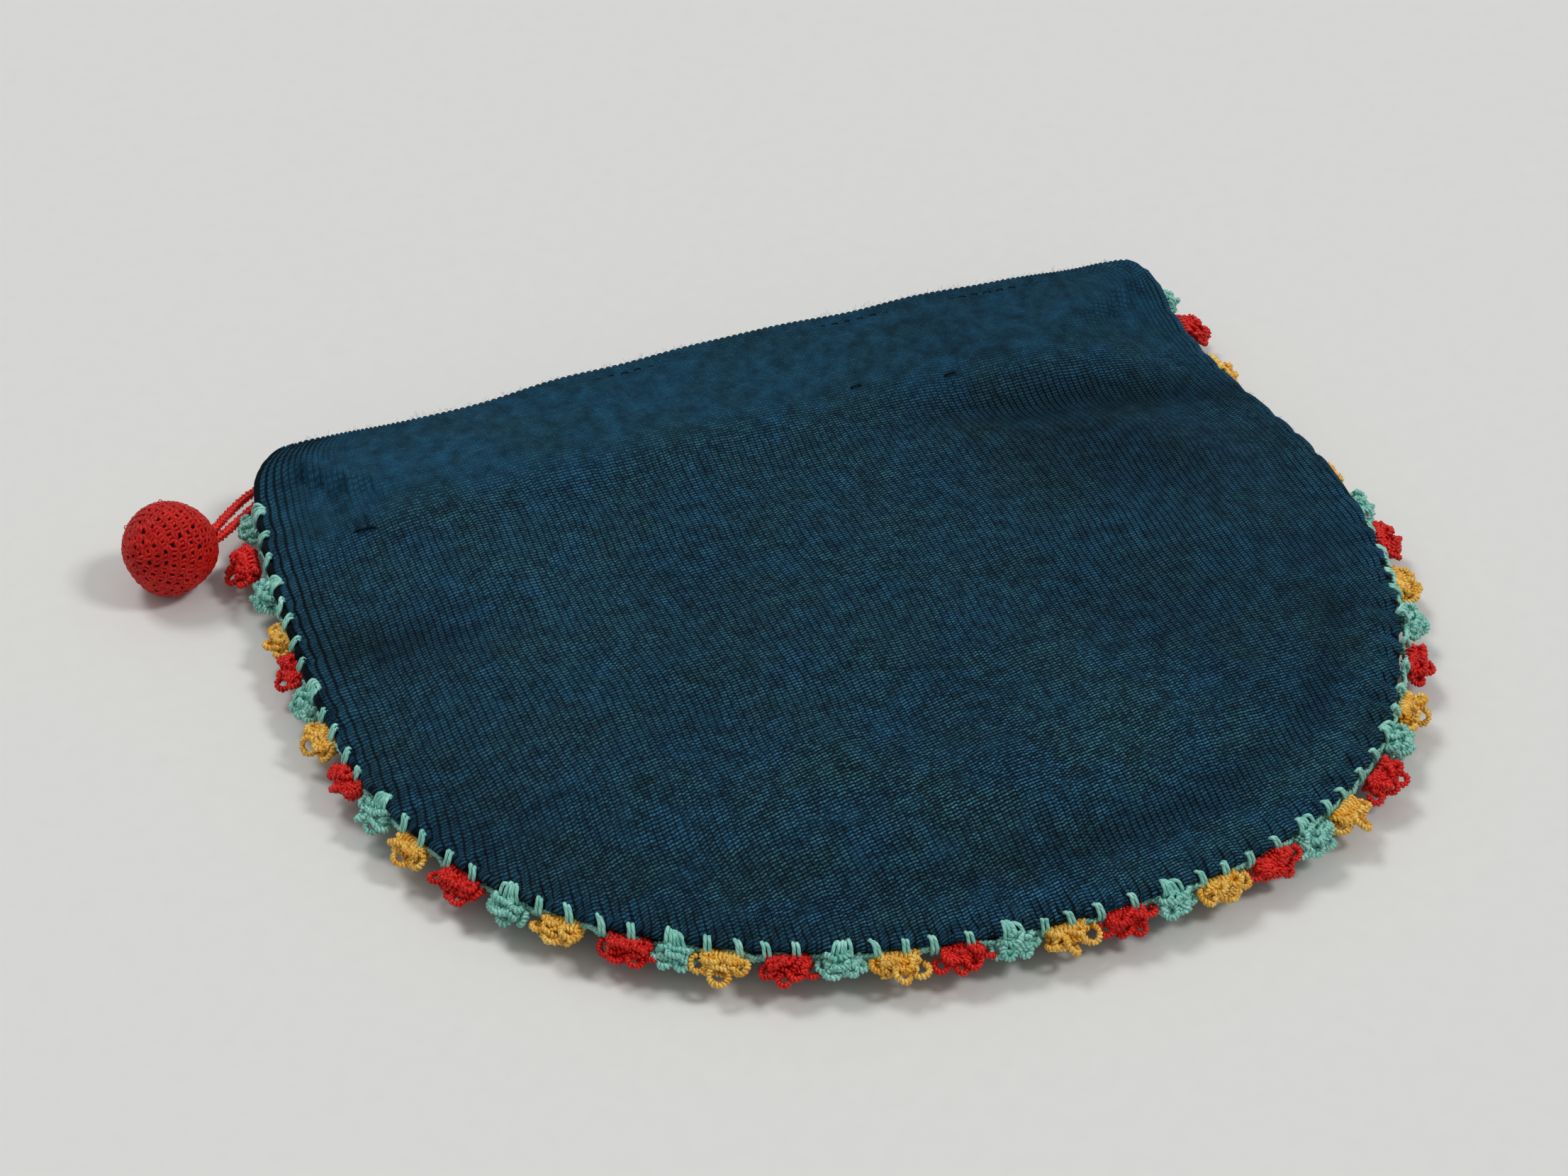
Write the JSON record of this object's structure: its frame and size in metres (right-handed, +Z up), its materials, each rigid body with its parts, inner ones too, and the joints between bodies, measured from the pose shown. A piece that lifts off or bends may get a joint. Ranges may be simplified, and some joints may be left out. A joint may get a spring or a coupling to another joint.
{
  "type": "crochet-edged pouch",
  "caption": "Flat round-ended cloth pouch with a zip mouth, a crocheted shell edging in three colours along its seam, and a crocheted ball pull on a short cord.",
  "frame": {"origin": "middle of the pouch's footprint on the table, the cord and ball left out", "axes": "+Y from the round end toward the mouth, +X to the right seen from above, +Z up from the table"},
  "size_m": [0.1745, 0.1306, 0.0141],
  "materials": {
    "ribbed_cloth": "matte ribbed weave with a slight sheen",
    "zip_tape": "plain woven tape",
    "mint_thread": "plied crochet thread, silky",
    "red_thread": "plied crochet thread, silky",
    "gold_thread": "plied crochet thread, silky"
  },
  "bodies": {
    "root": {"front_panel": "ribbed_cloth", "back_panel": "ribbed_cloth", "zip": "zip_tape", "edging_chain": "mint_thread", "motif_01_mint": "mint_thread", "motif_02_red": "red_thread", "motif_03_mint": "mint_thread", "motif_04_gold": "gold_thread", "motif_05_red": "red_thread", "motif_06_mint": "mint_thread", "motif_07_gold": "gold_thread", "motif_08_red": "red_thread", "motif_09_mint": "mint_thread", "motif_10_gold": "gold_thread", "motif_11_red": "red_thread", "motif_12_mint": "mint_thread", "motif_13_gold": "gold_thread", "motif_14_red": "red_thread", "motif_15_mint": "mint_thread", "motif_16_gold": "gold_thread", "motif_17_red": "red_thread", "motif_18_mint": "mint_thread", "motif_19_gold": "gold_thread", "motif_20_red": "red_thread", "motif_21_mint": "mint_thread", "motif_22_gold": "gold_thread", "motif_23_red": "red_thread", "motif_24_mint": "mint_thread", "motif_25_gold": "gold_thread", "motif_26_red": "red_thread", "motif_27_mint": "mint_thread", "motif_28_gold": "gold_thread", "motif_29_red": "red_thread", "motif_30_mint": "mint_thread", "motif_31_gold": "gold_thread", "motif_32_red": "red_thread", "motif_33_mint": "mint_thread", "motif_34_gold": "gold_thread", "motif_35_red": "red_thread", "motif_36_mint": "mint_thread", "motif_37_gold": "gold_thread", "motif_38_red": "red_thread", "motif_39_mint": "mint_thread", "motif_40_gold": "gold_thread", "motif_41_red": "red_thread", "motif_42_mint": "mint_thread", "pull_cord": "red_thread", "pull_ball": "red_thread"}
  },
  "joints": []
}
